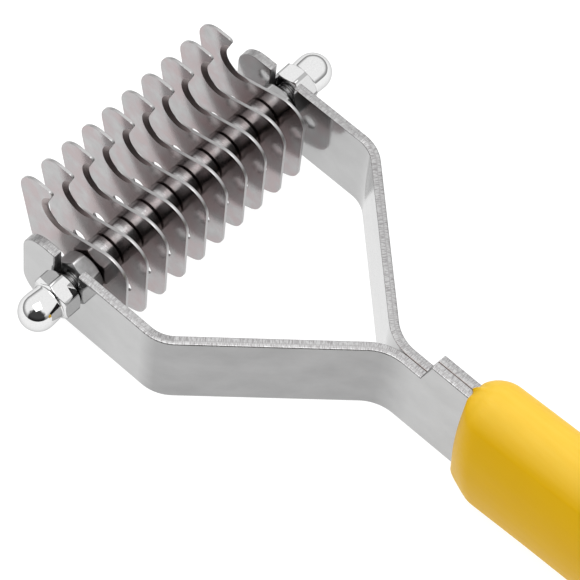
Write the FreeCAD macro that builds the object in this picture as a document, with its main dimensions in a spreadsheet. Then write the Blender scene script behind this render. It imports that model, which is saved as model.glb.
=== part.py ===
import FreeCAD, Part
import Sketcher
import math
import os

# Dematting comb: a moulded handle grips the two tangs of a bent steel fork, and the
# fork's open-topped slots carry a threaded rod with ten hooked blades on it.
# Every body is drawn about the middle of the rod (x along the rod, y away from the
# handle, z up, the side the hooks and slots open to) and is then moved so that the
# centre of the handle's hanging hole is the origin. Lengths are in millimetres.

DIMENSIONS = {
    # blade row along the rod
    "blade_count": 10,
    "blade_thickness": 0.6,
    "spacer_length": 4.68,
    "spacer_diameter": 7.6,
    "spacer_bevel": 0.3,
    "rod_diameter": 4.9,
    "rod_length": 74,
    "rod_bevel": 0.6,
    "turning_gap": 0.05,
    "face_gap": 0.12,
    # blade outline: circles joined by tangent lines, centres measured from the rod
    "body_radius": 15.2,
    "hook_radius": 4.9,
    "hook_reach": 12.5,
    "hook_rise": 9.6,
    "beak_radius": 0.75,
    "beak_reach": 10.25,
    "beak_rise": 13.75,
    "throat_radius": 3.5,
    "throat_reach": 7.3,
    "throat_rise": 9.2,
    "shoulder_radius": 4.7,
    "shoulder_back": 4.9,
    "shoulder_rise": 4.55,
    "heel_radius": 4.3,
    "side_hole_diameter": 3.1,
    "side_hole_circle": 8.3,
    "front_hole_angle": -27,
    "rear_hole_angle": -123,
    "edge_reach": 7.7,
    "edge_rise": 8.9,
    "edge_wide_radius": 4.3,
    "edge_narrow_radius": 2.8,
    # fork arms, bent from strip
    "strip_thickness": 1.9,
    "strip_top": 7.05,
    "strip_bottom": -11.95,
    "arm_half_gap": 28,
    "arm_bend": 22.05,
    "arm_bend_radius": 6.5,
    "neck": 52.3,
    "neck_radius": 11,
    "ear_reach": 11.1,
    "ear_corner": 5.2,
    "slot_width": 6,
    "slot_floor_centre": 0.35,
    "step_foot": 60.9,
    "step_head": 62.9,
    "step_height": 6.1,
    "tang_end": 116,
    "tang_hole": 6,
    "tang_hole_near": 86,
    "tang_hole_far": 104,
    # nuts
    "nut_across_flats": 8,
    "nut_face_diameter": 7.5,
    "nut_bevel_depth": 0.5,
    "jam_nut_height": 3.7,
    "domed_hex_height": 4.1,
    "dome_neck_diameter": 7.1,
    "dome_radius": 3.75,
    "dome_centre": 7.1,
    "domed_bore_depth": 7.5,
    # handle
    "handle_front": 72.3,
    "handle_length": 100,
    "handle_half_width": 7.8,
    "handle_half_height": 16.6,
    "handle_edge_radius": 6.6,
    "handle_rise": 0.6,
    "handle_arch": 2.6,
    "handle_end_round": 6,
    "tang_gap": 0.05,
    "hang_hole": 6,
    "hang_hole_inset": 11,
    "hang_hole_rise": 1.6,
    "hang_hole_rim": 0.8,
}

PITCH = "(Sizes.blade_thickness + Sizes.spacer_length)"
PACK_HALF = "((Sizes.blade_count - 1) / 2 * " + PITCH + " + Sizes.blade_thickness / 2)"
BORE_RADIUS = "(Sizes.rod_diameter / 2 + Sizes.turning_gap)"
ARM_ANGLE = "atan(Sizes.arm_half_gap / (Sizes.neck - Sizes.arm_bend))"
TANG_TOP = "(Sizes.strip_top + Sizes.step_height)"
HANDLE_HALF = "(Sizes.handle_length / 2)"
ARCH_RADIUS = "((%s^2 + Sizes.handle_arch^2) / (2 * Sizes.handle_arch))" % HANDLE_HALF
ROD_FROM_ORIGIN_Y = "Sizes.handle_front + Sizes.handle_length - Sizes.hang_hole_inset"
ROD_FROM_ORIGIN_Z = "-Sizes.hang_hole_rise"
CLEAR = 2.0  # how far a cutting outline runs past the metal it removes

START, END, CENTRE = 1, 2, 3  # the points of a sketched line or arc
ROOT, ROOT_POINT = -1, 1  # the sketch's own origin
UPRIGHT_AXIS = -2

doc = FreeCAD.newDocument("DemattingComb")
sheet = doc.addObject("Spreadsheet::Sheet", "Sizes")
for row, (alias, value) in enumerate(DIMENSIONS.items(), start=1):
    sheet.set("A%d" % row, alias)
    sheet.set("B%d" % row, str(value))
    sheet.setAlias("B%d" % row, alias)
doc.recompute()

sub_parts = []


def size(expression):
    """The present value of an expression of sheet cells."""
    value = sheet.evalExpression(expression)
    return float(getattr(value, "Value", value))


def point(x, y):
    return FreeCAD.Vector(x, y, 0)


# ---------------------------------------------------------------- sketch helpers


def add_body(label, along_rod="0"):
    """A body drawn about the rod's middle and placed along the rod."""
    body = doc.addObject("PartDesign::Body", label)
    body.Label = label
    body.setExpression("Placement.Base.x", along_rod)
    body.setExpression("Placement.Base.y", ROD_FROM_ORIGIN_Y)
    body.setExpression("Placement.Base.z", ROD_FROM_ORIGIN_Z)
    sub_parts.append(body)
    return body


def attach(body, item, role, offset=("0", "0", "0")):
    """Lay a sketch or primitive on one of the body's own origin planes."""
    plane = [feature for feature in body.Origin.OriginFeatures if feature.Role == role][0]
    item.AttachmentSupport = [(plane, "")]
    item.MapMode = "FlatFace"
    for axis, expression in zip("xyz", offset):
        item.setExpression("AttachmentOffset.Base." + axis, expression)
    return item


def add_sketch(body, name, role, offset="0"):
    sketch = body.newObject("Sketcher::SketchObject", name)
    return attach(body, sketch, role, ("0", "0", offset))


def drive(sketch, kind, geometry, expression):
    """Add one dimension to a sketch and bind it to the sheet."""
    index = sketch.addConstraint(Sketcher.Constraint(kind, *geometry, size(expression)))
    name = "%s_%d" % (kind, index)
    sketch.renameConstraint(index, name)
    sketch.setExpression("Constraints." + name, expression)


def drive_point(sketch, geometry, where, x, y):
    drive(sketch, "DistanceX", (geometry, where), x)
    drive(sketch, "DistanceY", (geometry, where), y)


def relate(sketch, kind, *geometry):
    sketch.addConstraint(Sketcher.Constraint(kind, *geometry))


def line(sketch, start, end):
    return sketch.addGeometry(Part.LineSegment(start, end), False)


def arc(sketch, centre, radius, start, end):
    """An arc that runs anticlockwise from one angle to the other, in radians."""
    circle = Part.Circle(centre, FreeCAD.Vector(0, 0, 1), radius)
    return sketch.addGeometry(Part.ArcOfCircle(circle, start, end), False)


def polar(centre, radius, angle):
    return centre + point(radius * math.cos(angle), radius * math.sin(angle))


def draw_polygon(sketch, corners):
    """A closed outline whose corners are pairs of sheet expressions."""
    places = [point(size(x), size(y)) for x, y in corners]
    edges = [line(sketch, places[i - 1], places[i]) for i in range(len(places))]
    for i, (x, y) in enumerate(corners):
        following = edges[(i + 1) % len(edges)]
        relate(sketch, "Coincident", edges[i], END, following, START)
        drive_point(sketch, edges[i], END, x, y)


def draw_circle(sketch, x, y, diameter):
    centre = point(size(x), size(y))
    circle = Part.Circle(centre, FreeCAD.Vector(0, 0, 1), size(diameter) / 2)
    ring = sketch.addGeometry(circle, False)
    drive(sketch, "Diameter", (ring,), diameter)
    drive_point(sketch, ring, CENTRE, x, y)


# --------------------------------------------------------------- feature helpers


def pad_both_ways(body, sketch, length, name="Pad"):
    pad = body.newObject("PartDesign::Pad", name)
    pad.Profile = (sketch, [""])
    pad.SideType = "Symmetric"
    pad.setExpression("Length", length)
    doc.recompute()
    return pad


def pocket_through(body, sketch, name="Pocket"):
    """Cut a sketch out of the whole width of the body, both ways."""
    pocket = body.newObject("PartDesign::Pocket", name)
    pocket.Profile = (sketch, [""])
    pocket.SideType = "Symmetric"
    pocket.Type = "ThroughAll"
    check_cut(body, pocket)
    return pocket


def pocket_forward(body, sketch, length, name="Pocket"):
    """Cut along the sketch's own normal."""
    pocket = body.newObject("PartDesign::Pocket", name)
    pocket.Profile = (sketch, [""])
    pocket.Reversed = True
    pocket.setExpression("Length", length)
    check_cut(body, pocket)
    return pocket


def check_cut(body, feature):
    """A cut that points the wrong way removes nothing, so compare volumes."""
    doc.recompute()
    if feature.Shape.Volume >= feature.BaseFeature.Shape.Volume - 1e-3:
        raise RuntimeError("%s cuts nothing from %s" % (feature.Name, body.Label))


def primitive(body, kind, name, values, role="YZ_Plane", offset=("0", "0", "0")):
    """A PartDesign primitive along the rod, with its sizes bound to the sheet."""
    item = body.newObject("PartDesign::" + kind, name)
    attach(body, item, role, offset)
    for key, expression in values.items():
        item.setExpression(key, expression)
    doc.recompute()
    return item


def edges_where(shape, test):
    return ["Edge%d" % (i + 1) for i, edge in enumerate(shape.Edges) if test(edge)]


def dress(body, kind, name, base, edges, key, expression):
    """A fillet or chamfer on named edges of the feature before it."""
    feature = body.newObject("PartDesign::" + kind, name)
    feature.Base = (base, edges)
    feature.setExpression(key, expression)
    doc.recompute()
    return feature


# ------------------------------------------------------------------------ blades


def tangent_angle(first, second):
    """Outward normal of the line that leaves one circle and meets the next one.

    Circles are (centre, radius); a hollow's radius is negative."""
    step = second[0] - first[0]
    lean = math.acos((first[1] - second[1]) / step.Length)
    return math.atan2(step.y, step.x) - lean


def draw_blade_outline(sketch):
    """Body circle about the rod, hook, beak, throat hollow, shoulder and heel."""
    heel_back = "(Sizes.shoulder_back + Sizes.shoulder_radius - Sizes.heel_radius)"
    heel_drop = size("sqrt((Sizes.body_radius - Sizes.heel_radius)^2 - %s^2)" % heel_back)
    shoulder_centre = point(-size("Sizes.shoulder_back"), size("Sizes.shoulder_rise"))
    throat_centre = point(size("Sizes.throat_reach"), size("Sizes.throat_rise"))
    body = (point(0, 0), size("Sizes.body_radius"))
    hook = (point(size("Sizes.hook_reach"), size("Sizes.hook_rise")), size("Sizes.hook_radius"))
    beak = (point(size("Sizes.beak_reach"), size("Sizes.beak_rise")), size("Sizes.beak_radius"))
    throat = (throat_centre, -size("Sizes.throat_radius"))
    shoulder = (shoulder_centre, size("Sizes.shoulder_radius"))
    heel = (point(-size(heel_back), -heel_drop), size("Sizes.heel_radius"))

    circles = [body, hook, beak, throat, shoulder, heel]
    normals = [tangent_angle(circles[i], circles[i + 1]) for i in range(4)]
    normals.append(math.pi)
    heel_end = math.atan2(-heel_drop, -size(heel_back)) + 2 * math.pi

    lines = []
    for i, normal in enumerate(normals):
        leaving = polar(circles[i][0], circles[i][1], normal)
        meeting = polar(circles[i + 1][0], circles[i + 1][1], normal)
        lines.append(line(sketch, leaving, meeting))

    body_arc = arc(sketch, body[0], body[1], heel_end - 2 * math.pi, normals[0])
    hook_arc = arc(sketch, hook[0], hook[1], normals[0], normals[1])
    beak_arc = arc(sketch, beak[0], beak[1], normals[1], normals[2] + 2 * math.pi)
    throat_arc = arc(sketch, throat[0], -throat[1], normals[3] - math.pi, normals[2] + math.pi)
    shoulder_arc = arc(sketch, shoulder[0], shoulder[1], normals[3], math.pi)
    heel_arc = arc(sketch, heel[0], heel[1], math.pi, heel_end)

    for before, joined, after in (
        ((body_arc, END), lines[0], (hook_arc, START)),
        ((hook_arc, END), lines[1], (beak_arc, START)),
        ((beak_arc, END), lines[2], (throat_arc, END)),
        ((throat_arc, START), lines[3], (shoulder_arc, START)),
        ((shoulder_arc, END), lines[4], (heel_arc, START)),
    ):
        relate(sketch, "Tangent", before[0], before[1], joined, START)
        relate(sketch, "Tangent", joined, END, after[0], after[1])
    relate(sketch, "Tangent", heel_arc, END, body_arc, START)
    relate(sketch, "Coincident", body_arc, CENTRE, ROOT, ROOT_POINT)
    relate(sketch, "Vertical", lines[4])

    drive(sketch, "Radius", (body_arc,), "Sizes.body_radius")
    drive(sketch, "Radius", (hook_arc,), "Sizes.hook_radius")
    drive(sketch, "Radius", (beak_arc,), "Sizes.beak_radius")
    drive(sketch, "Radius", (throat_arc,), "Sizes.throat_radius")
    drive(sketch, "Radius", (shoulder_arc,), "Sizes.shoulder_radius")
    drive(sketch, "Radius", (heel_arc,), "Sizes.heel_radius")
    drive_point(sketch, hook_arc, CENTRE, "Sizes.hook_reach", "Sizes.hook_rise")
    drive_point(sketch, beak_arc, CENTRE, "Sizes.beak_reach", "Sizes.beak_rise")
    drive_point(sketch, throat_arc, CENTRE, "Sizes.throat_reach", "Sizes.throat_rise")
    drive_point(sketch, shoulder_arc, CENTRE, "-Sizes.shoulder_back", "Sizes.shoulder_rise")


def make_blade(number):
    """One stamped hooked blade: rod hole, two small holes, throat ground from one side."""
    along = "(%d - (Sizes.blade_count + 1) / 2) * %s" % (number, PITCH)
    body = add_body("blade_%02d" % number, along)
    outline = add_sketch(body, "Outline", "YZ_Plane")
    draw_blade_outline(outline)
    pad_both_ways(body, outline, "Sizes.blade_thickness")

    holes = add_sketch(body, "Holes", "YZ_Plane")
    draw_circle(holes, "0", "0", "2 * " + BORE_RADIUS)
    for angle in ("front_hole_angle", "rear_hole_angle"):
        reach = "Sizes.side_hole_circle * cos(Sizes.%s * 1 deg)" % angle
        rise = "Sizes.side_hole_circle * sin(Sizes.%s * 1 deg)" % angle
        draw_circle(holes, reach, rise, "Sizes.side_hole_diameter")
    pocket_through(body, holes)

    # the cutting edge: a cone leans into the throat from the blade's -x face
    edge = primitive(
        body,
        "SubtractiveCone",
        "CuttingEdge",
        {
            "Radius1": "Sizes.edge_wide_radius",
            "Radius2": "Sizes.edge_narrow_radius",
            "Height": "Sizes.blade_thickness",
        },
        offset=("Sizes.edge_reach", "Sizes.edge_rise", "-Sizes.blade_thickness / 2"),
    )
    check_cut(body, edge)


def make_spacer(number):
    """A turned sleeve that keeps two blades apart."""
    along = "(%d - Sizes.blade_count / 2) * %s" % (number, PITCH)
    body = add_body("spacer_%02d" % number, along)
    ring = add_sketch(body, "Ring", "YZ_Plane")
    draw_circle(ring, "0", "0", "Sizes.spacer_diameter")
    draw_circle(ring, "0", "0", "2 * " + BORE_RADIUS)
    pad = pad_both_ways(body, ring, "Sizes.spacer_length")
    outer = size("Sizes.spacer_diameter / 2")

    def is_rim(edge):
        return hasattr(edge.Curve, "Radius") and abs(edge.Curve.Radius - outer) < 1e-6

    dress(body, "Chamfer", "Rims", pad, edges_where(pad.Shape, is_rim), "Size", "Sizes.spacer_bevel")


# -------------------------------------------------------------------- rod and nuts


def make_rod():
    """The threaded rod, drawn at its thread's outer diameter."""
    body = add_body("threaded_rod")
    disc = add_sketch(body, "Disc", "YZ_Plane")
    draw_circle(disc, "0", "0", "Sizes.rod_diameter")
    pad = pad_both_ways(body, disc, "Sizes.rod_length")

    def is_end(edge):
        return hasattr(edge.Curve, "Radius")

    dress(body, "Chamfer", "Ends", pad, edges_where(pad.Shape, is_end), "Size", "Sizes.rod_bevel")


def make_hexagon(body, height, turn):
    """A hexagon prism from x = 0, with a flat on top when turn is 0."""
    corner = "Sizes.nut_across_flats / sqrt(3)"
    sketch = add_sketch(body, "Hexagon", "YZ_Plane")
    corners = []
    for k in range(6):
        angle = "(%d * 60 deg + %s * 1 deg)" % (k, turn)
        corners.append((corner + " * cos" + angle, corner + " * sin" + angle))
    draw_polygon(sketch, corners)
    pad = body.newObject("PartDesign::Pad", "Hex")
    pad.Profile = (sketch, [""])
    pad.setExpression("Length", height)
    doc.recompute()


def bevel_hexagon(body, height, both_ends):
    """Turn the hexagon's corners down to a round face, as on a turned nut."""
    sketch = add_sketch(body, "CornerBevel", "XY_Plane")
    face = "Sizes.nut_face_diameter / 2"
    past = "(Sizes.nut_across_flats / sqrt(3) + %s)" % CLEAR
    slope = "(Sizes.nut_bevel_depth / (Sizes.nut_across_flats / sqrt(3) - %s))" % face
    depth = "%s * (%s - %s)" % (slope, past, face)
    draw_polygon(sketch, [("0", face), (depth, past), ("-" + str(CLEAR), past), ("-" + str(CLEAR), face)])
    if both_ends:
        far = height + " + "
        draw_polygon(
            sketch,
            [
                (height, face),
                (far + str(CLEAR), face),
                (far + str(CLEAR), past),
                (height + " - " + depth, past),
            ],
        )
    groove = body.newObject("PartDesign::Groove", "Bevel")
    groove.Profile = (sketch, [""])
    groove.ReferenceAxis = (sketch, ["H_Axis"])
    groove.Angle = 360
    check_cut(body, groove)


def make_jam_nut(side, turn):
    """A hexagon nut that clamps the end blade of the row."""
    hand = 1 if side == "right" else -1
    start = PACK_HALF + " + Sizes.face_gap"
    body = add_body("jam_nut_" + side, "%d * (%s)" % (hand, start))
    body.setExpression("Placement.Rotation.Angle", "0" if hand > 0 else "180")
    make_hexagon(body, "Sizes.jam_nut_height", turn)
    bevel_hexagon(body, "Sizes.jam_nut_height", both_ends=True)
    bore = {"Radius": BORE_RADIUS, "Height": "Sizes.jam_nut_height"}
    check_cut(body, primitive(body, "SubtractiveCylinder", "Bore", bore))


def make_domed_nut(side, turn):
    """A closed nut that clamps one fork arm: hexagon, neck and round dome."""
    hand = 1 if side == "right" else -1
    start = "Sizes.arm_half_gap + Sizes.strip_thickness + Sizes.face_gap"
    body = add_body("domed_nut_" + side, "%d * (%s)" % (hand, start))
    body.setExpression("Placement.Rotation.Angle", "0" if hand > 0 else "180")
    make_hexagon(body, "Sizes.domed_hex_height", turn)
    bevel_hexagon(body, "Sizes.domed_hex_height", both_ends=True)
    neck = {"Radius": "Sizes.dome_neck_diameter / 2", "Height": "Sizes.dome_centre"}
    primitive(body, "AdditiveCylinder", "Neck", neck)
    dome = {"Radius": "Sizes.dome_radius"}
    primitive(body, "AdditiveSphere", "Dome", dome, offset=("0", "0", "Sizes.dome_centre"))
    bore = {"Radius": BORE_RADIUS, "Height": "Sizes.domed_bore_depth"}
    check_cut(body, primitive(body, "SubtractiveCylinder", "Bore", bore))


# -------------------------------------------------------------------------- fork


def draw_arm_path(sketch, hand):
    """The arm's inner face seen from above: ear, arm, bend, slope, neck and tang."""
    turn = size(ARM_ANGLE + " / 1 rad")
    bend = size("Sizes.arm_bend_radius")
    neck = size("Sizes.neck_radius")
    bend_y = "-Sizes.arm_bend + Sizes.arm_bend_radius * tan(%s / 2)" % ARM_ANGLE
    neck_y = "-Sizes.neck - Sizes.neck_radius * tan(%s / 2)" % ARM_ANGLE
    bend_centre = point(hand * (size("Sizes.arm_half_gap") - bend), size(bend_y))
    neck_centre = point(hand * neck, size(neck_y))

    if hand > 0:
        bend_arc = arc(sketch, bend_centre, bend, -turn, 0)
        neck_arc = arc(sketch, neck_centre, neck, math.pi - turn, math.pi)
        bend_ends = (END, START)
        neck_ends = (START, END)
    else:
        bend_arc = arc(sketch, bend_centre, bend, math.pi, math.pi + turn)
        neck_arc = arc(sketch, neck_centre, neck, 0, turn)
        bend_ends = (START, END)
        neck_ends = (END, START)

    ear_tip = point(hand * size("Sizes.arm_half_gap"), size("Sizes.ear_reach"))
    slope_start = polar(bend_centre, bend, -turn if hand > 0 else math.pi + turn)
    slope_end = polar(neck_centre, neck, math.pi - turn if hand > 0 else turn)
    arm = line(sketch, ear_tip, point(ear_tip.x, bend_centre.y))
    slope = line(sketch, slope_start, slope_end)
    tang = line(sketch, point(0, neck_centre.y), point(0, -size("Sizes.tang_end")))

    relate(sketch, "Tangent", arm, END, bend_arc, bend_ends[0])
    relate(sketch, "Tangent", bend_arc, bend_ends[1], slope, START)
    relate(sketch, "Tangent", slope, END, neck_arc, neck_ends[0])
    relate(sketch, "Tangent", neck_arc, neck_ends[1], tang, START)
    relate(sketch, "Vertical", arm)
    relate(sketch, "Vertical", tang)
    relate(sketch, "PointOnObject", tang, END, UPRIGHT_AXIS)
    drive(sketch, "Radius", (bend_arc,), "Sizes.arm_bend_radius")
    drive(sketch, "Radius", (neck_arc,), "Sizes.neck_radius")
    drive_point(sketch, arm, START, "%d * Sizes.arm_half_gap" % hand, "Sizes.ear_reach")
    drive(sketch, "DistanceY", (tang, END), "-Sizes.tang_end")
    drive(sketch, "DistanceY", (bend_arc, CENTRE), bend_y)
    drive(sketch, "DistanceY", (neck_arc, CENTRE), neck_y)


def draw_slot(sketch):
    """A slot with a round floor that runs out through the strip's top edge."""
    half = size("Sizes.slot_width / 2")
    floor = size("Sizes.slot_floor_centre")
    top = size("Sizes.strip_top") + CLEAR
    left = line(sketch, point(-half, top), point(-half, floor))
    bottom = arc(sketch, point(0, floor), half, math.pi, 2 * math.pi)
    right = line(sketch, point(half, floor), point(half, top))
    lid = line(sketch, point(half, top), point(-half, top))
    relate(sketch, "Tangent", left, END, bottom, START)
    relate(sketch, "Tangent", bottom, END, right, START)
    relate(sketch, "Coincident", right, END, lid, START)
    relate(sketch, "Coincident", lid, END, left, START)
    relate(sketch, "Vertical", left)
    relate(sketch, "Vertical", right)
    relate(sketch, "Horizontal", lid)
    relate(sketch, "PointOnObject", bottom, CENTRE, UPRIGHT_AXIS)
    drive(sketch, "Radius", (bottom,), "Sizes.slot_width / 2")
    drive(sketch, "DistanceY", (bottom, CENTRE), "Sizes.slot_floor_centre")
    drive(sketch, "DistanceY", (left, START), "Sizes.strip_top + %s" % CLEAR)


def make_fork_arm(side):
    """One half of the fork, bent from strip: slotted ear, arm, slope and stepped tang."""
    hand = 1 if side == "right" else -1
    body = add_body("fork_arm_" + side)
    path = add_sketch(body, "InnerFace", "XY_Plane")
    draw_arm_path(path, hand)
    section = add_sketch(body, "Section", "XZ_Plane", "-Sizes.ear_reach")
    inner = "%d * Sizes.arm_half_gap" % hand
    outer = "%d * (Sizes.arm_half_gap + Sizes.strip_thickness)" % hand
    draw_polygon(
        section,
        [
            (inner, "Sizes.strip_bottom"),
            (outer, "Sizes.strip_bottom"),
            (outer, TANG_TOP),
            (inner, TANG_TOP),
        ],
    )
    strip = body.newObject("PartDesign::AdditivePipe", "BentStrip")
    strip.Profile = (section, [""])
    strip.Spine = (path, [""])
    doc.recompute()

    # everything above the strip's edge is cut away in front of the slanted step
    above = add_sketch(body, "AboveStrip", "YZ_Plane")
    clear_y = "Sizes.ear_reach + %s" % CLEAR
    clear_z = TANG_TOP + " + %s" % CLEAR
    draw_polygon(
        above,
        [
            (clear_y, "Sizes.strip_top"),
            (clear_y, clear_z),
            ("-Sizes.step_head", clear_z),
            ("-Sizes.step_head", TANG_TOP),
            ("-Sizes.step_foot", "Sizes.strip_top"),
        ],
    )
    pocket_through(body, above, "StepCut")
    slot = add_sketch(body, "Slot", "YZ_Plane")
    draw_slot(slot)
    pocket_through(body, slot, "SlotCut")
    holes = add_sketch(body, "TangHoles", "YZ_Plane")
    for place in ("tang_hole_near", "tang_hole_far"):
        draw_circle(holes, "-Sizes." + place, "Sizes.handle_rise", "Sizes.tang_hole")
    pierced = pocket_through(body, holes, "TangHoleCut")

    tip = size("Sizes.ear_reach")
    levels = (size("Sizes.strip_top"), size("Sizes.strip_bottom"))

    def is_ear_corner(edge):
        middle = edge.CenterOfMass
        at_tip = abs(middle.y - tip) < 1e-4
        return at_tip and any(abs(middle.z - level) < 1e-4 for level in levels)

    corners = edges_where(pierced.Shape, is_ear_corner)
    dress(body, "Fillet", "EarCorners", pierced, corners, "Radius", "Sizes.ear_corner")


# ------------------------------------------------------------------------ handle


def draw_handle_section(sketch):
    """A tall oval of four tangent arcs: two nearly flat sides and two round edges."""
    edge = "Sizes.handle_edge_radius"
    spread = "(Sizes.handle_half_height - %s)" % edge
    side = "((Sizes.handle_half_width^2 + %s^2 - %s^2) / (2 * (Sizes.handle_half_width - %s)))" % (
        spread,
        edge,
        edge,
    )
    mid = "(Sizes.handle_rise + Sizes.handle_arch)"
    rise = size(mid)
    lean = math.atan2(size(spread), size(side) - size("Sizes.handle_half_width"))
    offset = size(side) - size("Sizes.handle_half_width")
    right = arc(sketch, point(-offset, rise), size(side), -lean, lean)
    top = arc(sketch, point(0, rise + size(spread)), size(edge), lean, math.pi - lean)
    left = arc(sketch, point(offset, rise), size(side), math.pi - lean, math.pi + lean)
    bottom = arc(sketch, point(0, rise - size(spread)), size(edge), math.pi + lean, 2 * math.pi - lean)
    ring = [right, top, left, bottom]
    for i in range(4):
        relate(sketch, "Tangent", ring[i], END, ring[(i + 1) % 4], START)
    relate(sketch, "Equal", top, bottom)
    relate(sketch, "Equal", left, right)
    relate(sketch, "PointOnObject", top, CENTRE, UPRIGHT_AXIS)
    relate(sketch, "PointOnObject", bottom, CENTRE, UPRIGHT_AXIS)
    drive(sketch, "Radius", (top,), edge)
    drive(sketch, "Radius", (right,), side)
    drive(sketch, "DistanceY", (top, CENTRE), mid + " + " + spread)
    drive(sketch, "DistanceY", (bottom, CENTRE), mid + " - " + spread)


def draw_arch_axis(sketch):
    """The line far below the handle that its shallow arch is turned about."""
    level = "(Sizes.handle_rise + Sizes.handle_arch - %s)" % ARCH_RADIUS
    half_line = size("Sizes.handle_half_width")
    axis = line(sketch, point(-half_line, size(level)), point(half_line, size(level)))
    sketch.setConstruction(axis, True)
    relate(sketch, "Horizontal", axis)
    drive_point(sketch, axis, START, "-Sizes.handle_half_width", level)
    drive(sketch, "DistanceX", (axis, END), "Sizes.handle_half_width")


def make_handle():
    """The moulded handle: arched oval grip, pocket and pegs for the tangs, hanging hole."""
    body = add_body("handle")
    section = add_sketch(body, "Section", "XZ_Plane", "Sizes.handle_front + " + HANDLE_HALF)
    draw_handle_section(section)
    draw_arch_axis(section)
    grip = body.newObject("PartDesign::Revolution", "Grip")
    grip.Profile = (section, [""])
    grip.ReferenceAxis = (section, ["Axis0"])
    grip.Midplane = True
    grip.setExpression("Angle", "2 * asin(%s / %s)" % (HANDLE_HALF, ARCH_RADIUS))
    doc.recompute()

    ends = []
    for face in grip.Shape.Faces:
        if isinstance(face.Surface, Part.Plane):
            ends += edges_where(grip.Shape, lambda edge: any(edge.isSame(rim) for rim in face.Edges))
    dress(body, "Fillet", "RoundedEnds", grip, ends, "Radius", "Sizes.handle_end_round")

    tangs = add_sketch(body, "TangPocket", "XZ_Plane", "Sizes.handle_front - %s" % CLEAR)
    half_width = "(Sizes.strip_thickness + Sizes.tang_gap)"
    low = "Sizes.strip_bottom - Sizes.tang_gap"
    high = TANG_TOP + " + Sizes.tang_gap"
    draw_polygon(
        tangs,
        [("-" + half_width, low), (half_width, low), (half_width, high), ("-" + half_width, high)],
    )
    depth = "Sizes.tang_end - Sizes.handle_front + Sizes.tang_gap + %s" % CLEAR
    pocket_forward(body, tangs, depth, "TangPocketCut")

    pegs = add_sketch(body, "Pegs", "YZ_Plane")
    for place in ("tang_hole_near", "tang_hole_far"):
        diameter = "Sizes.tang_hole - 2 * Sizes.tang_gap"
        draw_circle(pegs, "-Sizes." + place, "Sizes.handle_rise", diameter)
    pad_both_ways(body, pegs, "2 * %s + Sizes.strip_thickness" % half_width, "PegPad")

    eye = add_sketch(body, "HangingHole", "YZ_Plane")
    eye_y = "-(Sizes.handle_front + Sizes.handle_length - Sizes.hang_hole_inset)"
    draw_circle(eye, eye_y, "Sizes.hang_hole_rise", "Sizes.hang_hole")
    eye_cut = pocket_through(body, eye, "HangingHoleCut")
    eye_place = FreeCAD.Vector(0, size(eye_y), size("Sizes.hang_hole_rise"))

    def is_eye_rim(edge):
        away = edge.CenterOfMass - eye_place
        return math.hypot(away.y, away.z) < size("Sizes.hang_hole / 2") and abs(away.x) > 1

    rims = edges_where(eye_cut.Shape, is_eye_rim)
    dress(body, "Fillet", "HoleRims", eye_cut, rims, "Radius", "Sizes.hang_hole_rim")


# ---------------------------------------------------------------------- assembly

make_handle()
for side_name in ("left", "right"):
    make_fork_arm(side_name)
make_rod()
for blade_number in range(1, DIMENSIONS["blade_count"] + 1):
    make_blade(blade_number)
for spacer_number in range(1, DIMENSIONS["blade_count"]):
    make_spacer(spacer_number)
make_jam_nut("left", -20)
make_jam_nut("right", 4)
make_domed_nut("left", -24)
make_domed_nut("right", -16)
doc.recompute()

for item in doc.Objects:
    if "Invalid" in item.State or "Error" in item.State:
        raise RuntimeError("%s did not build: %s" % (item.Name, item.State))
for body in sub_parts:
    shape = body.Shape
    if shape.isNull() or not shape.isValid() or len(shape.Solids) != 1:
        raise RuntimeError(body.Label + " is not one valid solid")

os.makedirs("parts", exist_ok=True)
for body in sub_parts:
    body.Shape.exportStep("parts/%s.step" % body.Label)
    print(body.Label, "%.1f mm3" % body.Shape.Volume)
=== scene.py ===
import math

import bmesh
import bpy
from mathutils import Matrix, Vector
from mathutils.bvhtree import BVHTree


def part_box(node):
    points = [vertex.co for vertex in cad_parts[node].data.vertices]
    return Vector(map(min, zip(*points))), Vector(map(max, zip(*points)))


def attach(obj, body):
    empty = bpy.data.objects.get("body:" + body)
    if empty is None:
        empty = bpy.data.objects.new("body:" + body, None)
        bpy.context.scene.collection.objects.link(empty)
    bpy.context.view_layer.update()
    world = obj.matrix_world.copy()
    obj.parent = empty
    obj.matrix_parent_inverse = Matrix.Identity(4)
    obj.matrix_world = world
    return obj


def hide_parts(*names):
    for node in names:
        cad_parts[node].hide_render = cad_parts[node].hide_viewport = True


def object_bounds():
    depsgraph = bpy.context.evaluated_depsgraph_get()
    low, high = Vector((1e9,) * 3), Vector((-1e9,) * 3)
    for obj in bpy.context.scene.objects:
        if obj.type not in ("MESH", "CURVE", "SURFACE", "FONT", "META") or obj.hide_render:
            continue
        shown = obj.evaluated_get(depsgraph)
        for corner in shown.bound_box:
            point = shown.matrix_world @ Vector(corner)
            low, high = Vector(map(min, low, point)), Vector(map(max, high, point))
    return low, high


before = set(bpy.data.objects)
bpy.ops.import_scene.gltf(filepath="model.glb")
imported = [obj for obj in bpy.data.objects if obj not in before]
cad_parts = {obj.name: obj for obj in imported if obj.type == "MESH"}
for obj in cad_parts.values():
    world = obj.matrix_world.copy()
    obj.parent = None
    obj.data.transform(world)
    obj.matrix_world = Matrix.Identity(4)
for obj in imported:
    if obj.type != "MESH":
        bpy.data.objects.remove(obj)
cad_low, cad_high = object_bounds()

# The looks of a dematting comb: a yellow moulded handle, a bent steel fork, and a row of
# hooked blades on a threaded rod between the fork's arms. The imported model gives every
# place and size; the lengths below are only those that its boxes don't tell.

MM = 0.001

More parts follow.
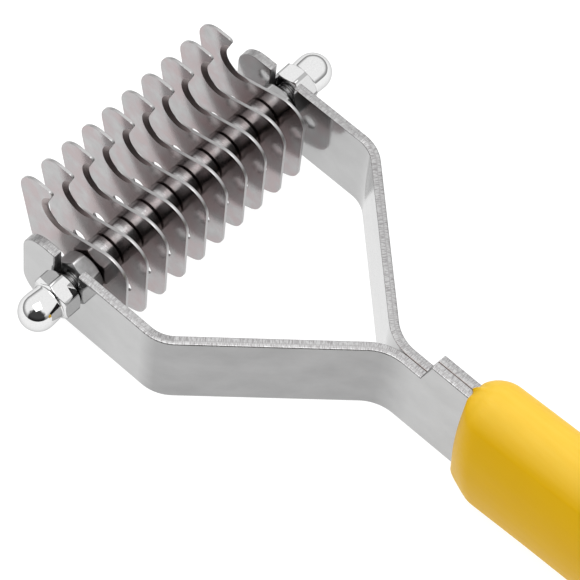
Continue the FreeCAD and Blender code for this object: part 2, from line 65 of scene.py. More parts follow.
STRIP_THICKNESS = 1.9 * MM
ARM_BEND_RADIUS = 6.5 * MM
NECK_RADIUS = 11 * MM
BEND_TO_NECK = 30.25 * MM
ROD_TO_BEND = 22.05 * MM
EAR_CORNER = 5.2 * MM
SLOT_WIDTH = 6 * MM
SLOT_FLOOR_RISE = 0.35 * MM
STRIP_TOP_RISE = 7.05 * MM
STEP_FOOT = 60.9 * MM
STEP_HEAD = 62.9 * MM
BEND_STEP = math.radians(2.5)
SHARP_EDGE = math.radians(32)
THREAD_PITCH = 0.8 * MM
THREAD_DEPTH = 0.42 * MM

NUT_FLATS = 8 * MM
HEXAGON_CORNER = NUT_FLATS / math.sqrt(3)
NUT_FACE_RADIUS = 3.75 * MM
NUT_BEVEL = 0.5 * MM
NUT_CORNER = 0.22 * MM
NUT_BORE = 2.3 * MM
DOMED_HEX_HEIGHT = 4.1 * MM
DOME_RADIUS = 3.75 * MM
DOME_FOOT = 3.58 * MM

# How far each nut happens to be turned: its first corner, in degrees up from the blades.
LEFT_DOMED_NUT_CORNER = 24
RIGHT_DOMED_NUT_CORNER = 44
LEFT_JAM_NUT_CORNER = 20
RIGHT_JAM_NUT_CORNER = 4

MOUTH_FRONT = 89.95 * MM
MOUTH_GAP = 0.03 * MM
MOUTH_REACH = 6 * MM
MOUTH_FALL = 4.6 * MM
MOUTH_SUNK = 1.2 * MM

# The room round the object: heights above the horizon, and angles from the dark side.
ROOM_TOP = math.radians(6)
CEILING_START = math.radians(26)
ROOM_LIGHT = 0.36
CEILING_LIGHT = 1.14
DARK_EDGE = math.radians(54)
DARK_CORE = math.radians(41)
DARK_LIGHT = 0.06
DARK_SIDE = Vector((-0.73, -0.55, 0.38)).normalized()
CLUTTER = 0.30

rod_low, rod_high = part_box("threaded_rod")
ROD_CENTRE = (rod_low + rod_high) / 2
arm_low, arm_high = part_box("fork_arm_right")
BEND_ANGLE = math.atan2(arm_high.x - STRIP_THICKNESS, BEND_TO_NECK)


def strip_runs():
    """The strip's inner face as runs from the ear's tip: (length, turn to the right)."""
    ear_reach = arm_high.y - ROD_CENTRE.y
    bend_cut = ARM_BEND_RADIUS * math.tan(BEND_ANGLE / 2)
    neck_cut = NECK_RADIUS * math.tan(BEND_ANGLE / 2)
    slope = math.hypot(BEND_TO_NECK, arm_high.x - STRIP_THICKNESS) - bend_cut - neck_cut
    tang = ROD_CENTRE.y - arm_low.y - ROD_TO_BEND - BEND_TO_NECK - neck_cut
    return [
        (ear_reach + ROD_TO_BEND - bend_cut, 0.0),
        (ARM_BEND_RADIUS * BEND_ANGLE, BEND_ANGLE),
        (slope, 0.0),
        (NECK_RADIUS * BEND_ANGLE, -BEND_ANGLE),
        (tang, 0.0),
    ]


# ------------------------------------------------------------------ material helpers


class Finish:
    """One node material, built up around a Principled BSDF."""

    def __init__(self, name):
        self.material = bpy.data.materials.new(name)
        self.material.use_nodes = True
        self.tree = self.material.node_tree
        self.shader = self.tree.nodes["Principled BSDF"]
        self.place = self.add("ShaderNodeTexCoord").outputs["Object"]

    def add(self, kind, settings=None, **inputs):
        """A node with its settings and inputs; an input may be another node's output."""
        node = self.tree.nodes.new(kind)
        for key, value in (settings or {}).items():
            setattr(node, key, value)
        for key, value in inputs.items():
            self.feed(node.inputs[key.replace("_", " ")], value)
        return node

    def feed(self, socket, value):
        if isinstance(value, bpy.types.NodeSocket):
            self.tree.links.new(value, socket)
        else:
            socket.default_value = value

    def maths(self, operation, first, second=0.0, third=0.0):
        node = self.tree.nodes.new("ShaderNodeMath")
        node.operation = operation
        for socket, value in zip(node.inputs, (first, second, third)):
            self.feed(socket, value)
        return node.outputs[0]

    def stretch(self, along, where=None):
        """The place on the object in millimetres, stretched along each axis."""
        scale = [1 / (MM * step) for step in along]
        mapping = self.add("ShaderNodeMapping", Scale=scale, Vector=where or self.place)
        return mapping.outputs[0]

    def noise(self, grain, detail=3.0, roughness=0.5, where=None):
        """Noise whose features are about as long as grain, in millimetres, on each axis."""
        place = self.stretch(grain, where)
        node = self.add("ShaderNodeTexNoise", Vector=place, Scale=1.0, Detail=detail)
        node.inputs["Roughness"].default_value = roughness
        return node.outputs[0]

    def span(self, value, low, high, start=0.25, stop=0.75):
        """Spread a noise value over the range from low to high."""
        node = self.add("ShaderNodeMapRange", Value=value)
        node.inputs["From Min"].default_value = start
        node.inputs["From Max"].default_value = stop
        node.inputs["To Min"].default_value = low
        node.inputs["To Max"].default_value = high
        return node.outputs[0]

    def blend(self, share, first, second):
        """A colour that runs from first to second."""
        node = self.tree.nodes.new("ShaderNodeMix")
        node.data_type = "RGBA"
        self.feed(node.inputs[0], share)
        self.feed(node.inputs[6], first)
        self.feed(node.inputs[7], second)
        return node.outputs[2]

    def bump(self, height, depth, strength=1.0, below=None):
        """Relief of the given depth in metres, on top of any relief below it."""
        node = self.add("ShaderNodeBump", Height=height, Distance=depth, Strength=strength)
        if below is not None:
            self.tree.links.new(below, node.inputs["Normal"])
        return node.outputs[0]

    def set(self, **inputs):
        for key, value in inputs.items():
            self.feed(self.shader.inputs[key.replace("_", " ")], value)
        return self.material


def grey(level, warm=0.0):
    """A linear colour near grey; warm takes a little green and blue away."""
    return (level, level * (1 - warm), level * (1 - 0.75 * warm), 1)


# ------------------------------------------------------------------------ materials


SHEET_MAUVE = (0.365, 0.315, 0.33, 1)
SHEET_PALE_MAUVE = (0.40, 0.335, 0.335, 1)
# Painted shade: the blades' dark brown round the rod.
HUB_SHADE_BROWN = (0.20, 0.155, 0.15, 1)
GROUND_BROWN = (0.40, 0.345, 0.34, 1)
RUST = (0.17, 0.11, 0.09, 1)
# Painted shade for the spacers' lower side.
UNDERSIDE_SHADE = (0.12, 0.10, 0.095, 1)
# Painted light and shade: the side yellows are shaded copies, the top yellows lit ones.
SHADED_SIDE_YELLOW = (0.73, 0.418, 0.0, 1)
PALE_SHADED_SIDE_YELLOW = (0.76, 0.446, 0.0, 1)
LIT_TOP_YELLOW = (0.79, 0.515, 0.065, 1)
PALE_LIT_TOP_YELLOW = (0.82, 0.54, 0.075, 1)
STREAK_YELLOW = (0.70, 0.385, 0.001, 1)


def make_blade_steel():
    """Polished stainless sheet, browner and darker round the rod as painted shade, with grey cut
    edges and a ground throat.
    """
    finish = Finish("blade_steel")
    normal = finish.add("ShaderNodeNewGeometry").outputs["True Normal"]
    facing = finish.add("ShaderNodeSeparateXYZ", Vector=normal).outputs[0]
    sideways = finish.maths("ABSOLUTE", facing)
    on_face = finish.maths("GREATER_THAN", sideways, 0.985)
    on_slope = finish.maths("GREATER_THAN", sideways, 0.5)
    on_edge = finish.maths("SUBTRACT", 1.0, on_slope)
    ground = finish.maths("SUBTRACT", on_slope, on_face)

    haze = finish.noise((5, 3, 3), 4)
    tint = finish.noise((3.5, 4, 4), 3)
    polish = finish.noise((2, 0.06, 1.6), 2)
    scratches = finish.noise((0.05, 0.05, 1.4), 2)
    plain = finish.blend(finish.span(haze, 0, 1), grey(0.355, 0.005), grey(0.435, 0.005))
    mauve = finish.blend(finish.span(tint, 0, 1), SHEET_MAUVE, SHEET_PALE_MAUVE)
    sheen = finish.blend(finish.span(tint, 0.0, 0.9, 0.38, 0.62), plain, mauve)
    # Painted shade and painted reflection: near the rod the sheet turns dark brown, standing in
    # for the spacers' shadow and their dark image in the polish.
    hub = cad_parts["blade_01"].matrix_world.inverted() @ ROD_CENTRE
    place = finish.add("ShaderNodeSeparateXYZ", Vector=finish.place)
    ahead = finish.maths("SUBTRACT", place.outputs[1], hub.y)
    above = finish.maths("SUBTRACT", place.outputs[2], hub.z)
    square = finish.maths("MULTIPLY_ADD", ahead, ahead, finish.maths("MULTIPLY", above, above))
    from_hub = finish.maths("SQRT", square)
    painted_hub_shade = finish.span(from_hub, 0.70, 0, 4.5 * MM, 10.5 * MM)
    sheen = finish.blend(painted_hub_shade, sheen, HUB_SHADE_BROWN)
    colour = finish.blend(ground, sheen, GROUND_BROWN)
    colour = finish.blend(on_edge, colour, grey(0.42, 0.01))
    smooth = finish.span(polish, 0.10, 0.17)
    rough = finish.maths("MULTIPLY_ADD", ground, 0.28, smooth)
    rough = finish.maths("MULTIPLY_ADD", on_edge, 0.24, rough)
    relief = finish.bump(polish, 0.0016 * MM, 0.6)
    relief = finish.bump(scratches, 0.004 * MM, 0.5, relief)
    return finish.set(Base_Color=colour, Metallic=1.0, Roughness=rough, Normal=relief)


def make_strip_steel():
    """Polished strip, darker on its outer face from the first bend to the neck as painted shade;
    sheared edges with fine ticks.
    """
    finish = Finish("strip_steel")
    blank = finish.add("ShaderNodeAttribute", {"attribute_name": "blank"}).outputs["Vector"]
    axes = finish.add("ShaderNodeSeparateXYZ", Vector=blank)
    along, through, rise = axes.outputs[0], axes.outputs[1], axes.outputs[2]
    past_inner = finish.maths("GREATER_THAN", through, 0.02 * STRIP_THICKNESS)
    past_outer = finish.maths("LESS_THAN", through, 0.98 * STRIP_THICKNESS)
    on_edge = finish.maths("MULTIPLY", past_inner, past_outer)

    runs = strip_runs()
    first_bend = runs[0][0]
    neck_end = sum(run[0] for run in runs[:4])
    # Painted shade: the outer face is darker from the first bend to just past the neck.
    begun = finish.span(along, 0, 1, first_bend - 1 * MM, first_bend + 2 * MM)
    ended = finish.span(along, 1, 0, neck_end - 5 * MM, neck_end + 3 * MM)
    outside = finish.maths("GREATER_THAN", through, 0.5 * STRIP_THICKNESS)
    painted_slope_shade = finish.maths("MULTIPLY", finish.maths("MULTIPLY", begun, ended), outside)

    grain = finish.noise((5, 2, 0.09), 3, where=blank)
    cloud = finish.noise((7, 7, 5), 4, where=blank)
    corner = finish.maths("ADD", along, rise)
    across = finish.add("ShaderNodeCombineXYZ", X=corner, Y=through).outputs[0]
    ticks = finish.noise((0.14, 1.1, 1), 1, where=across)
    torn = finish.noise((0.30, 0.16, 1), 3, where=across)
    stain = finish.noise((1.1, 0.5, 1), 3, where=across)
    blotch = finish.noise((0.9, 0.6, 0.5), 3, where=blank)

    polished = finish.blend(finish.span(cloud, 0, 1), grey(0.43), grey(0.48))
    slope_shade_grey = finish.blend(finish.span(cloud, 0, 1), grey(0.30), grey(0.36))
    face_colour = finish.blend(painted_slope_shade, polished, slope_shade_grey)
    edge_tone = finish.blend(finish.span(torn, 0, 1), grey(0.37, 0.01), grey(0.50))
    cut_line = finish.maths("COMPARE", through, 0.52 * STRIP_THICKNESS, 0.05 * STRIP_THICKNESS)
    ticked = finish.span(ticks, 0, 0.85, 0.48, 0.57)
    marks = finish.maths("MAXIMUM", ticked, finish.maths("MULTIPLY", cut_line, 0.5))
    edge_colour = finish.blend(marks, edge_tone, grey(0.24, 0.04))
    colour = finish.blend(on_edge, face_colour, edge_colour)
    near_inner = finish.span(through, 0.85, 0, 0.03 * STRIP_THICKNESS, 0.10 * STRIP_THICKNESS)
    joined = finish.span(along, 0, 1, neck_end - 6 * MM, neck_end)
    stained = finish.maths("MAXIMUM", joined, finish.span(stain, 0, 0.6, 0.56, 0.66))
    stained = finish.maths("MULTIPLY", finish.maths("MULTIPLY", stained, near_inner), on_edge)
    colour = finish.blend(stained, colour, RUST)
    face_rough = finish.span(grain, 0.06, 0.16)
    worn_spots = finish.span(blotch, 0, 1, 0.55, 0.75)
    face_rough = finish.maths("MULTIPLY_ADD", worn_spots, 0.10, face_rough)
    rough = finish.maths("MULTIPLY_ADD", on_edge, 0.24, face_rough)
    relief = finish.bump(grain, 0.0016 * MM, 0.7)
    relief = finish.bump(cloud, 0.02 * MM, 0.25, relief)
    tear = finish.maths("MULTIPLY", finish.maths("ADD", ticks, torn), on_edge)
    relief = finish.bump(tear, 0.016 * MM, 0.6, relief)
    finish.shader.inputs["Specular Tint"].default_value = (0.95, 0.95, 0.95, 1)
    return finish.set(Base_Color=colour, Metallic=1.0, Roughness=rough, Normal=relief)


def corner_mask(finish):
    """1 on a nut's corners and on the rim in the crease at a domed nut's foot, 0 elsewhere."""
    return finish.add("ShaderNodeAttribute", {"attribute_name": "edge_tone"}).outputs["Fac"]


def make_turned_steel(name, low, high, rough, ring, underside_shade=0.0):
    """Steel turned on a lathe: fine rings round the rod's axis, with painted shade on its lower
    side.
    """
    finish = Finish(name)
    rings = finish.noise((ring, 3, 3), 3)
    cloud = finish.noise((1.2, 1.2, 1.2), 4)
    colour = finish.blend(finish.span(cloud, 0, 1), grey(low, 0.01), grey(high, 0.01))
    normal = finish.add("ShaderNodeNewGeometry").outputs["Normal"]
    upward = finish.add("ShaderNodeSeparateXYZ", Vector=normal).outputs[2]
    # Painted shade: darker towards the lower side, where the blades shade the spacers.
    painted_underside_shade = finish.span(upward, underside_shade, 0, 0.50, 0.97)
    colour = finish.blend(painted_underside_shade, colour, UNDERSIDE_SHADE)
    colour = finish.blend(finish.maths("MULTIPLY", corner_mask(finish), 0.6), colour, grey(0.55))
    roughness = finish.span(rings, rough * 0.75, rough * 1.3)
    relief = finish.bump(rings, 0.006 * MM, 0.8)
    relief = finish.bump(cloud, 0.005 * MM, 0.3, relief)
    return finish.set(Base_Color=colour, Metallic=1.0, Roughness=roughness, Normal=relief)


def make_chrome():
    """Bright plating with the faint waviness and fine wear of a polished nut, and painted shade on
    its corners and in the crease at the dome's foot.
    """
    finish = Finish("nut_chrome")
    wave = finish.noise((1.6, 1.6, 1.6), 2)
    wear = finish.noise((0.25, 0.25, 0.25), 4)
    colour = finish.blend(finish.span(wear, 0, 1), grey(0.68), grey(0.76))
    # Painted shade: the plating is darker along the corners and in the crease at the dome's foot.
    colour = finish.blend(corner_mask(finish), colour, grey(0.42))
    roughness = finish.span(wear, 0.02, 0.06)
    relief = finish.bump(wave, 0.012 * MM, 0.4)
    finish.shader.inputs["Specular Tint"].default_value = (0.62, 0.62, 0.62, 1)
    return finish.set(Base_Color=colour, Metallic=1.0, Roughness=roughness, Normal=relief)


def make_yellow_plastic():
    """Satin moulded plastic: a faint cloudiness, fine moulding grain and small scuffs, with
    painted light on the top and painted shade on the sides.
    """
    finish = Finish("yellow_plastic")
    cloud = finish.noise((16, 26, 14), 3)
    grain = finish.noise((0.35, 0.35, 0.35), 3)
    streak = finish.noise((0.9, 12, 0.7), 3)
    ripple = finish.noise((6, 9, 6), 2)
    scuff = finish.noise((0.4, 4.5, 0.5), 3)
    normal = finish.add("ShaderNodeNewGeometry").outputs["Normal"]
    upward = finish.add("ShaderNodeSeparateXYZ", Vector=normal).outputs[2]
    # Painted light: upward faces take the paler, lit yellow, the sides the deeper, shaded one.
    painted_top_light = finish.span(upward, 0, 1, 0.30, 0.95)
    shaded_side = finish.blend(finish.span(cloud, 0, 1), SHADED_SIDE_YELLOW, PALE_SHADED_SIDE_YELLOW)
    lit_top = finish.blend(finish.span(cloud, 0, 1), LIT_TOP_YELLOW, PALE_LIT_TOP_YELLOW)
    colour = finish.blend(painted_top_light, shaded_side, lit_top)
    colour = finish.blend(finish.span(streak, 0, 0.25), colour, STREAK_YELLOW)
    roughness = finish.span(scuff, 0.34, 0.44)
    relief = finish.bump(ripple, 0.05 * MM, 0.5)
    relief = finish.bump(streak, 0.010 * MM, 0.5, relief)
    relief = finish.bump(grain, 0.006 * MM, 0.7, relief)
    finish.shader.inputs["IOR"].default_value = 1.16
    finish.shader.inputs["Specular Tint"].default_value = (1.0, 0.74, 0.10, 1)
    finish.shader.inputs["Subsurface Weight"].default_value = 0.10
    finish.shader.inputs["Subsurface Radius"].default_value = (1.0, 0.6, 0.1)
    finish.shader.inputs["Subsurface Scale"].default_value = 2 * MM
    return finish.set(Base_Color=colour, Roughness=roughness, Normal=relief)


def make_floor_white():
    """Pale acrylic sheet, lit a little from behind as on a light table."""
    finish = Finish("floor_white")
    cloud = finish.noise((400, 400, 400), 2)
    colour = finish.blend(finish.span(cloud, 0, 1), grey(0.18), grey(0.21))
    finish.shader.inputs["Emission Color"].default_value = (1, 1, 1, 1)
    finish.shader.inputs["Emission Strength"].default_value = 0.93
    return finish.set(Base_Color=colour, Roughness=0.7)


BLADE_STEEL = make_blade_steel()
STRIP_STEEL = make_strip_steel()
SPACER_STEEL = make_turned_steel("spacer_steel", 0.42, 0.56, rough=0.20, ring=0.09, underside_shade=0.85)
JAM_STEEL = make_turned_steel("jam_nut_steel", 0.25, 0.34, rough=0.36, ring=0.30)
ROD_STEEL = make_turned_steel("rod_steel", 0.24, 0.34, rough=0.26, ring=0.40)
CHROME = make_chrome()
YELLOW = make_yellow_plastic()


# --------------------------------------------------------------------- mesh helpers


def new_piece(name, mesh_maker, material, body, stands_for):
    """Turn a bmesh into a piece that rides on a body and stands for a CAD node."""
    mesh = bpy.data.meshes.new(name)
    mesh_maker.to_mesh(mesh)
    mesh_maker.free()
    mesh.materials.append(material)
    for polygon in mesh.polygons:
        polygon.use_smooth = True
    piece = bpy.data.objects.new(name, mesh)
    bpy.context.scene.collection.objects.link(piece)
    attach(piece, body)
    if stands_for:
        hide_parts(stands_for)
    return piece


def weigh_normals(piece):
    """Flat faces keep flat shading right up to their rounded edges."""
    modifier = piece.modifiers.new("Normals", "WEIGHTED_NORMAL")
    modifier.weight = 60
    modifier.keep_sharp = True


def soften_edges(node, width, sharp=math.radians(25)):
    """Give a CAD node its material's edges: its facets are merged and then rounded."""
    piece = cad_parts[node]
    weld = piece.modifiers.new("Weld", "WELD")
    weld.merge_threshold = 0.001 * MM
    flatten = piece.modifiers.new("Flatten", "DECIMATE")
    flatten.decimate_type = "DISSOLVE"
    flatten.angle_limit = math.radians(0.4)
    bevel = piece.modifiers.new("Edges", "BEVEL")
    bevel.width = width
    bevel.segments = 2
    bevel.limit_method = "ANGLE"
    bevel.angle_limit = sharp
    weigh_normals(piece)


def finish_node(node, material, edge):
    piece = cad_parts[node]
    piece.data.materials.clear()
    piece.data.materials.append(material)
    soften_edges(node, edge)


# ------------------------------------------------------------------------ fork arms

def strip_point(along, out, rise, hand):
    """Bend a place on the flat blank to its place on the arm."""
    place = Vector((arm_high.x - STRIP_THICKNESS, arm_high.y))
    heading = -math.pi / 2
    left = along
    runs = strip_runs()
    for index, (length, turn) in enumerate(runs):
        last = index == len(runs) - 1
        step = left if last else min(left, length)
        turned = turn * step / length
        if turn:
            radius = length / turn
            side = Vector((math.sin(heading), -math.cos(heading)))
            centre = place + side * radius
            heading -= turned
            place = centre - Vector((math.sin(heading), -math.cos(heading))) * radius
        else:
            place = place + Vector((math.cos(heading), math.sin(heading))) * step
        left -= step
        if left <= 0:
            break
    outward = Vector((-math.sin(heading), math.cos(heading)))
    place = place + outward * out
    return Vector((hand * place.x, place.y, rise))


def arc_points(centre, radius, start, stop, count):
    """Points on an arc, from one angle in degrees to another."""
    points = []
    for step in range(count + 1):
        angle = math.radians(start + (stop - start) * step / count)
        points.append((centre[0] + radius * math.cos(angle), centre[1] + radius * math.sin(angle)))
    return points


def blank_outline(length):
    """The stamped blank's outline: (distance from the ear's tip, height)."""
    bottom = arm_low.z
    top = ROD_CENTRE.z + STRIP_TOP_RISE
    slot_middle = arm_high.y - ROD_CENTRE.y
    floor = ROD_CENTRE.z + SLOT_FLOOR_RISE
    half = SLOT_WIDTH / 2
    tang_end_to_rod = ROD_CENTRE.y - arm_low.y
    points = arc_points((EAR_CORNER, bottom + EAR_CORNER), EAR_CORNER, 180, 270, 10)
    points += [(length, bottom), (length, arm_high.z)]
    points += [(length - tang_end_to_rod + STEP_HEAD, arm_high.z)]
    points += [(length - tang_end_to_rod + STEP_FOOT, top)]
    points += [(slot_middle + half, top)]
    points += arc_points((slot_middle, floor), half, 0, -180, 16)
    points += [(slot_middle - half, top)]
    points += arc_points((EAR_CORNER, top - EAR_CORNER), EAR_CORNER, 90, 180, 10)
    return points


def make_fork_arm(side):
    """Stamp the blank, round its edges, then bend it."""
    hand = 1 if side == "right" else -1
    runs = strip_runs()
    length = sum(run[0] for run in runs)
    shape = bmesh.new()
    corners = [shape.verts.new((x, 0, z)) for x, z in blank_outline(length)]
    shape.faces.new(corners)
    grown = bmesh.ops.extrude_face_region(shape, geom=shape.faces[:])
    moved = [item for item in grown["geom"] if isinstance(item, bmesh.types.BMVert)]
    bmesh.ops.translate(shape, vec=(0, STRIP_THICKNESS, 0), verts=moved)
    bmesh.ops.recalc_face_normals(shape, faces=shape.faces)

    outer_rim = (STRIP_THICKNESS, 0.30 * MM)
    inner_rim = (0.0, 0.14 * MM)
    for level, width in (outer_rim, inner_rim):
        rim = [e for e in shape.edges if all(abs(v.co.y - level) < 1e-7 for v in e.verts)]
        bmesh.ops.bevel(shape, geom=rim, offset=width, segments=3, profile=0.5, affect="EDGES")

    start = 0.0
    for run_length, turn in runs:
        cuts = round(abs(turn) / BEND_STEP)
        for cut in range(cuts + 1 if cuts else 0):
            place = (start + run_length * cut / cuts, 0, 0)
            everything = shape.verts[:] + shape.edges[:] + shape.faces[:]
            bmesh.ops.bisect_plane(shape, geom=everything, plane_co=place, plane_no=(1, 0, 0))
        start += run_length

    blank = shape.verts.layers.float_vector.new("blank")
    for vertex in shape.verts:
        vertex[blank] = vertex.co.copy()
        vertex.co = strip_point(vertex.co.x, vertex.co.y, vertex.co.z, hand)
    bmesh.ops.recalc_face_normals(shape, faces=shape.faces)
    for edge in shape.edges:
        edge.smooth = edge.calc_face_angle(0.0) < SHARP_EDGE
    name = "fork_arm_" + side
    piece = new_piece("bent_" + name, shape, STRIP_STEEL, "fork", name)
    weigh_normals(piece)


# ----------------------------------------------------------------------------- rod


def thread_radius(phase, crest):
    """Rolled thread: a narrow flat crest, sloping flanks and a narrow flat root."""
    height = abs(2 * (phase % 1.0) - 1)
    level = min(1.0, max(0.0, (height - 0.12) / 0.76))
    return crest - THREAD_DEPTH * (1 - level)


def make_threaded_rod():
    around = 28
    per_turn = 8
    crest = (rod_high.z - rod_low.z) / 2
    length = rod_high.x - rod_low.x
    rings = round(length / THREAD_PITCH * per_turn)
    shape = bmesh.new()
    rows = []
    for ring in range(rings + 1):
        along = length * ring / rings
        from_end = min(along, length - along)
        row = []
        for step in range(around):
            angle = 2 * math.pi * step / around
            radius = thread_radius(along / THREAD_PITCH + step / around, crest)
            radius = min(radius, crest - THREAD_DEPTH + from_end)
            place = (rod_low.x + along, radius * math.cos(angle), radius * math.sin(angle))
            row.append(shape.verts.new(Vector(place) + Vector((0, ROD_CENTRE.y, ROD_CENTRE.z))))
        rows.append(row)
    for before, after in zip(rows, rows[1:]):
        for step in range(around):
            beside = (step + 1) % around
            shape.faces.new((before[step], after[step], after[beside], before[beside]))
    shape.faces.new(rows[0])
    shape.faces.new(rows[-1])
    bmesh.ops.recalc_face_normals(shape, faces=shape.faces)
    new_piece("rolled_thread_rod", shape, ROD_STEEL, "rod", "threaded_rod")


# ---------------------------------------------------------------------------- nuts


def hexagon_reach(angle, first_corner):
    """Distance from the axis to a hexagon's side whose corners are a little round."""
    from_flat = (angle - first_corner) % (math.pi / 3) - math.pi / 6
    side = NUT_FLATS / 2 / math.cos(from_flat)
    corner = HEXAGON_CORNER - NUT_CORNER / math.cos(math.pi / 6)
    from_corner = math.pi / 6 - abs(from_flat)
    across = corner * math.sin(from_corner)
    if across >= NUT_CORNER:
        return side
    tip = corner * math.cos(from_corner) + math.sqrt(NUT_CORNER ** 2 - across ** 2)
    return min(side, tip)


def bevelled_hexagon(height):
    """The outline of both round faces and the full hexagon: (distance along, radius limit)."""
    steps = 8
    slope = []
    for step in range(steps + 1):
        share = step / steps
        limit = NUT_FACE_RADIUS + (HEXAGON_CORNER - NUT_FACE_RADIUS) * share
        slope.append((NUT_BEVEL * share, limit))
    rows = [(0.0, NUT_BORE + 0.4 * MM), (0.0, NUT_FACE_RADIUS - 0.1 * MM)]
    rows += slope
    rows += [(height / 2, HEXAGON_CORNER)]
    rows += [(height - along, limit) for along, limit in reversed(slope)]
    return rows


def dome_profile(length):
    """Wall and ball of the closed nut, from the hexagon's outer face to the tip."""
    centre = length - DOME_RADIUS
    wall_start = DOMED_HEX_HEIGHT + 0.08 * MM
    rows = [(DOMED_HEX_HEIGHT, DOME_FOOT + 0.10 * MM), (wall_start, DOME_FOOT)]
    wall_steps = 10
    for step in range(1, wall_steps):
        share = step / wall_steps
        swell = (DOME_RADIUS - DOME_FOOT) * math.sin(math.pi / 2 * share)
        rows.append((wall_start + (centre - wall_start) * share, DOME_FOOT + swell))
    ball_steps = 20
    for step in range(ball_steps):
        turn = math.pi / 2 * step / ball_steps
        rows.append((centre + DOME_RADIUS * math.sin(turn), DOME_RADIUS * math.cos(turn)))
    rows.append((length, 0.01 * MM))
    return rows


def make_nut(node, material, first_corner, closed):
    """Spin a profile round the rod's axis, cut flat where the hexagon is nearer.

    The hexagon's first corner is so many degrees up from the blades' direction.
    """
    low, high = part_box(node)
    hand = 1 if low.x > 0 else -1
    base = low.x if hand > 0 else high.x
    length = high.x - low.x
    if closed:
        rows = [(length / 2, 0.01 * MM), (length / 2, NUT_BORE), (0.0, NUT_BORE)]
        rows += bevelled_hexagon(DOMED_HEX_HEIGHT) + dome_profile(length)
    else:
        rows = [(0.0, NUT_BORE)] + bevelled_hexagon(length) + [(length, NUT_BORE)]
    around = 180
    shape = bmesh.new()
    edge_tone = shape.verts.layers.float.new("edge_tone")
    rings = []
    for along, limit in rows:
        ring = []
        for step in range(around):
            angle = 2 * math.pi * step / around
            reach = hexagon_reach(angle, math.radians(first_corner))
            radius = min(limit, reach)
            place = (base + hand * along, radius * math.cos(angle), radius * math.sin(angle))
            vertex = shape.verts.new(Vector(place) + Vector((0, ROD_CENTRE.y, ROD_CENTRE.z)))
            # Corners and the crease at the dome's foot, which the chrome paints as shade.
            on_corner = reach > HEXAGON_CORNER - NUT_CORNER and limit > reach - NUT_CORNER
            at_foot = closed and along == DOMED_HEX_HEIGHT and limit < NUT_FACE_RADIUS
            vertex[edge_tone] = 1.0 if on_corner or at_foot else 0.0
            ring.append(vertex)
        rings.append(ring)
    pairs = list(zip(rings, rings[1:]))
    if closed:
        shape.faces.new(rings[0])
        shape.faces.new(rings[-1])
    else:
        pairs.append((rings[-1], rings[0]))
    for before, after in pairs:
        for step in range(around):
            beside = (step + 1) % around
            shape.faces.new((before[step], after[step], after[beside], before[beside]))
    bmesh.ops.recalc_face_normals(shape, faces=shape.faces)
    piece = new_piece("turned_" + node, shape, material, node, node)
    weigh_normals(piece)


# ------------------------------------------------------------------- handle's mouth


def lip_path():
    """Places round the two strips where the plastic meets them: (x, z, outward x, outward z)."""
    low, high = arm_low.z, arm_high.z
    half = STRIP_THICKNESS
    sides = 26
    ends = 16
    corner_steps = 6
    places = []
    for side, heading in ((-1, 180), (1, 0)):
        start, stop = (low, high) if side < 0 else (high, low)
        out_x = math.cos(math.radians(heading))
        for step in range(sides + 1):
            places.append((side * half, start + (stop - start) * step / sides, out_x, 0.0))
        for step in range(1, corner_steps):
            angle = math.radians(heading - 90 * step / corner_steps)
            places.append((side * half, stop, math.cos(angle), math.sin(angle)))
        for step in range(ends + 1):
            places.append((side * half * (1 - 2 * step / ends), stop, 0.0, -float(side)))
        for step in range(1, corner_steps):
            angle = math.radians(heading - 90 - 90 * step / corner_steps)
            places.append((-side * half, stop, math.cos(angle), math.sin(angle)))
    return places


def handle_front(tree, x, z):
    """How far forward the CAD handle's surface is at one place, or None beside it."""
    hit = tree.ray_cast(Vector((x, cad_high.y, z)), Vector((0, -1, 0)))[0]
    return hit.y if hit else None


def mouth_level(x, z):
    """How far forward the plastic reaches along the strips; it peaks at their joint."""
    from_top = arm_high.z - z
    level = MOUTH_FRONT - 0.40 * MM * math.exp(-((from_top / (2.2 * MM)) ** 2))
    if from_top < 0.1 * MM:
        level += 0.25 * MM + 0.65 * MM * math.exp(-((x / (0.40 * MM)) ** 2))
    return level


def mouth_ring_heights(tree, place, steps):
    """From one place at the strips outward over the handle: (reach, level) of each ring."""
    x, z, out_x, out_z = place
    start = MOUTH_GAP + 0.15 * MM
    base = handle_front(tree, x + out_x * start, z + out_z * start)
    reach = start
    while reach < MOUTH_REACH:
        ahead = reach + 0.1 * MM
        level = handle_front(tree, x + out_x * ahead, z + out_z * ahead)
        if level is None or base - level > MOUTH_FALL:
            break
        reach = ahead
    lift = mouth_level(x, z) - base
    heights = []
    for step in range(steps + 1):
        share = step / steps
        out = start + (reach - start) * share
        level = handle_front(tree, x + out_x * out, z + out_z * out)
        swell = lift * (0.5 + 0.5 * math.cos(math.pi * share ** 1.5))
        skin = 0.03 * MM - 0.06 * MM * share ** 3
        heights.append((out if step else MOUTH_GAP, level + swell + skin))
    return heights


